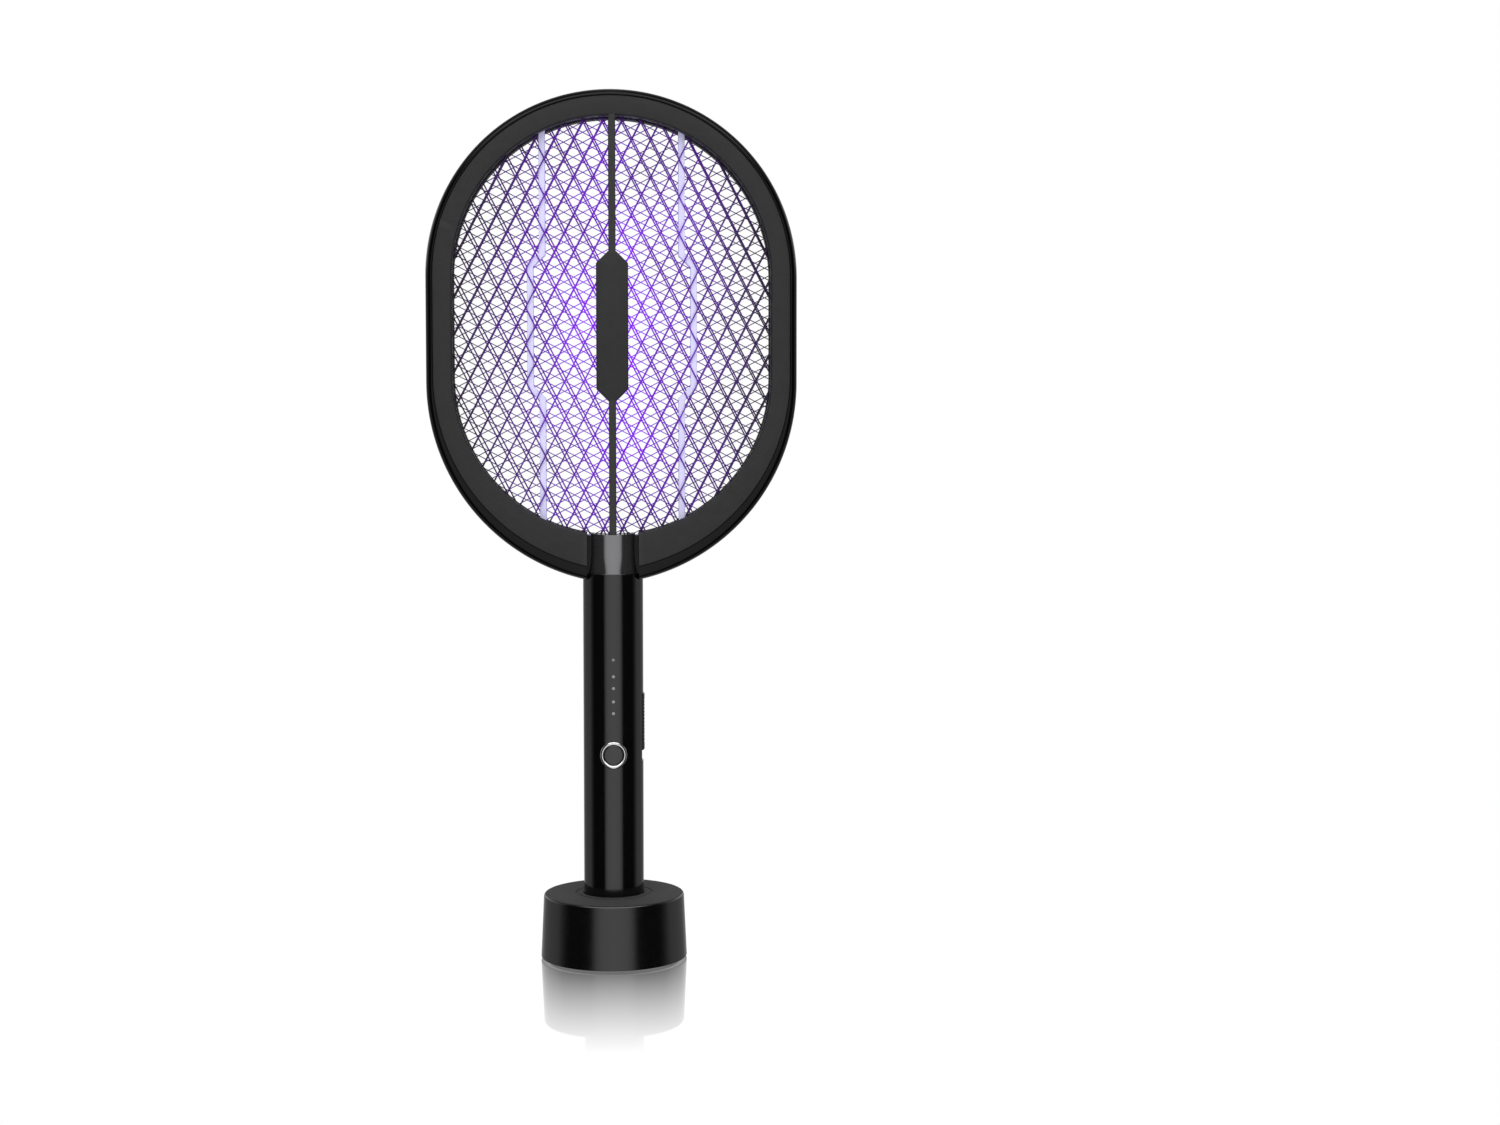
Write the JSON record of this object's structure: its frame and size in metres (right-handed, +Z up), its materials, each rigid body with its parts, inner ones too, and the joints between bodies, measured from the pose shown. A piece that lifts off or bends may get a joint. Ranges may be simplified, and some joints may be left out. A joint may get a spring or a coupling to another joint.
{
  "type": "electric fly swatter",
  "caption": "Racket-shaped electric fly swatter with wire nets, a central ultraviolet lamp and a round handle, standing in a round charging base",
  "frame": {"origin": "centre of the base's underside, on the table", "axes": "+Z up along the handle, -Y towards the side with the power button, +X towards the trigger"},
  "size_m": [0.22, 0.088, 0.5196],
  "materials": {
    "gloss_black": "polished black moulding",
    "matte_charcoal": "fine-grained matte charcoal",
    "net_steel": "drawn wire, darkened",
    "milky_plastic": "translucent milky plastic",
    "white_board": "white solder mask",
    "uv_led": "violet LED package",
    "violet_lens": "clear violet plastic",
    "screw_steel": "plated steel",
    "red_wire": "PVC sleeve",
    "black_wire": "PVC sleeve",
    "neck_gunmetal": "polished metallic gunmetal",
    "chrome_ring": "polished chrome",
    "button_black": "satin black moulding",
    "switch_black": "moulded nylon",
    "clear_guide": "clear acrylic",
    "led_white": "LED package",
    "green_board": "green solder mask",
    "ferrite": "sintered ferrite",
    "copper": "enamelled copper",
    "capacitor_red": "epoxy coat",
    "cell_blue": "heat-shrink sleeve",
    "nickel": "nickel plate",
    "contact_gold": "gold plate",
    "ballast_iron": "turned and oiled",
    "base_plate_black": "matte black moulding",
    "foot_rubber": "moulded rubber"
  },
  "bodies": {
    "base": {"base_shell": "gloss_black", "socket_ring": "gloss_black", "ballast": "ballast_iron", "base_plate": "base_plate_black", "foot_ring": "foot_rubber", "base_screws": "screw_steel", "contact_block": "switch_black", "contact_springs": "nickel", "charge_board": "green_board", "usb_inlet": "nickel", "base_leads": "red_wire"},
    "contact_pins": {"contact_pins": "contact_gold"},
    "power_button": {"power_button": "button_black", "power_plunger": "switch_black"},
    "side_trigger": {"side_trigger": "button_black", "trigger_plunger": "switch_black"},
    "swatter": {"head_front_shell": "gloss_black", "head_rear_shell": "gloss_black", "front_face_ring": "matte_charcoal", "rear_face_ring": "matte_charcoal", "front_net": "net_steel", "live_net": "net_steel", "rear_net": "net_steel", "front_spacer": "milky_plastic", "rear_spacer": "milky_plastic", "lamp_board": "white_board", "uv_leds": "uv_led", "lamp_lenses": "violet_lens", "lamp_screws": "screw_steel", "lamp_leads": "red_wire", "live_lead": "red_wire", "ground_leads": "black_wire", "head_screws": "screw_steel", "neck": "neck_gunmetal", "handle_front_shell": "gloss_black", "handle_rear_shell": "gloss_black", "handle_screws": "screw_steel", "button_ring": "chrome_ring", "power_switch": "switch_black", "light_guide": "clear_guide", "indicator_leds": "led_white", "trigger_switch": "switch_black", "main_board": "green_board", "board_screws": "screw_steel", "lead_connector": "milky_plastic", "transformer_core": "ferrite", "transformer_winding": "copper", "capacitors": "capacitor_red", "diodes": "switch_black", "battery_cell": "cell_blue", "cell_tabs": "nickel", "cell_leads": "red_wire", "charge_leads": "black_wire", "end_cap": "gloss_black", "charge_contacts": "contact_gold"}
  },
  "joints": [
    {"name": "lift_off", "type": "slide", "parent": "base", "child": "swatter", "axis": [0, 0, 1], "range_m": [0, 0.06]},
    {"name": "power_press", "type": "slide", "parent": "swatter", "child": "power_button", "axis": [0, 1, 0], "range_m": [0, 0.0008], "stiffness_N_per_m": 1200, "springref_m": -0.0005},
    {"name": "trigger_press", "type": "slide", "parent": "swatter", "child": "side_trigger", "axis": [-1, 0, 0], "range_m": [0, 0.0012], "stiffness_N_per_m": 1000, "springref_m": -0.0006},
    {"name": "contact_press", "type": "slide", "parent": "base", "child": "contact_pins", "axis": [0, 0, -1], "range_m": [0, 0.001], "stiffness_N_per_m": 500, "springref_m": -0.0008, "deforming": ["contact_springs"]}
  ]
}
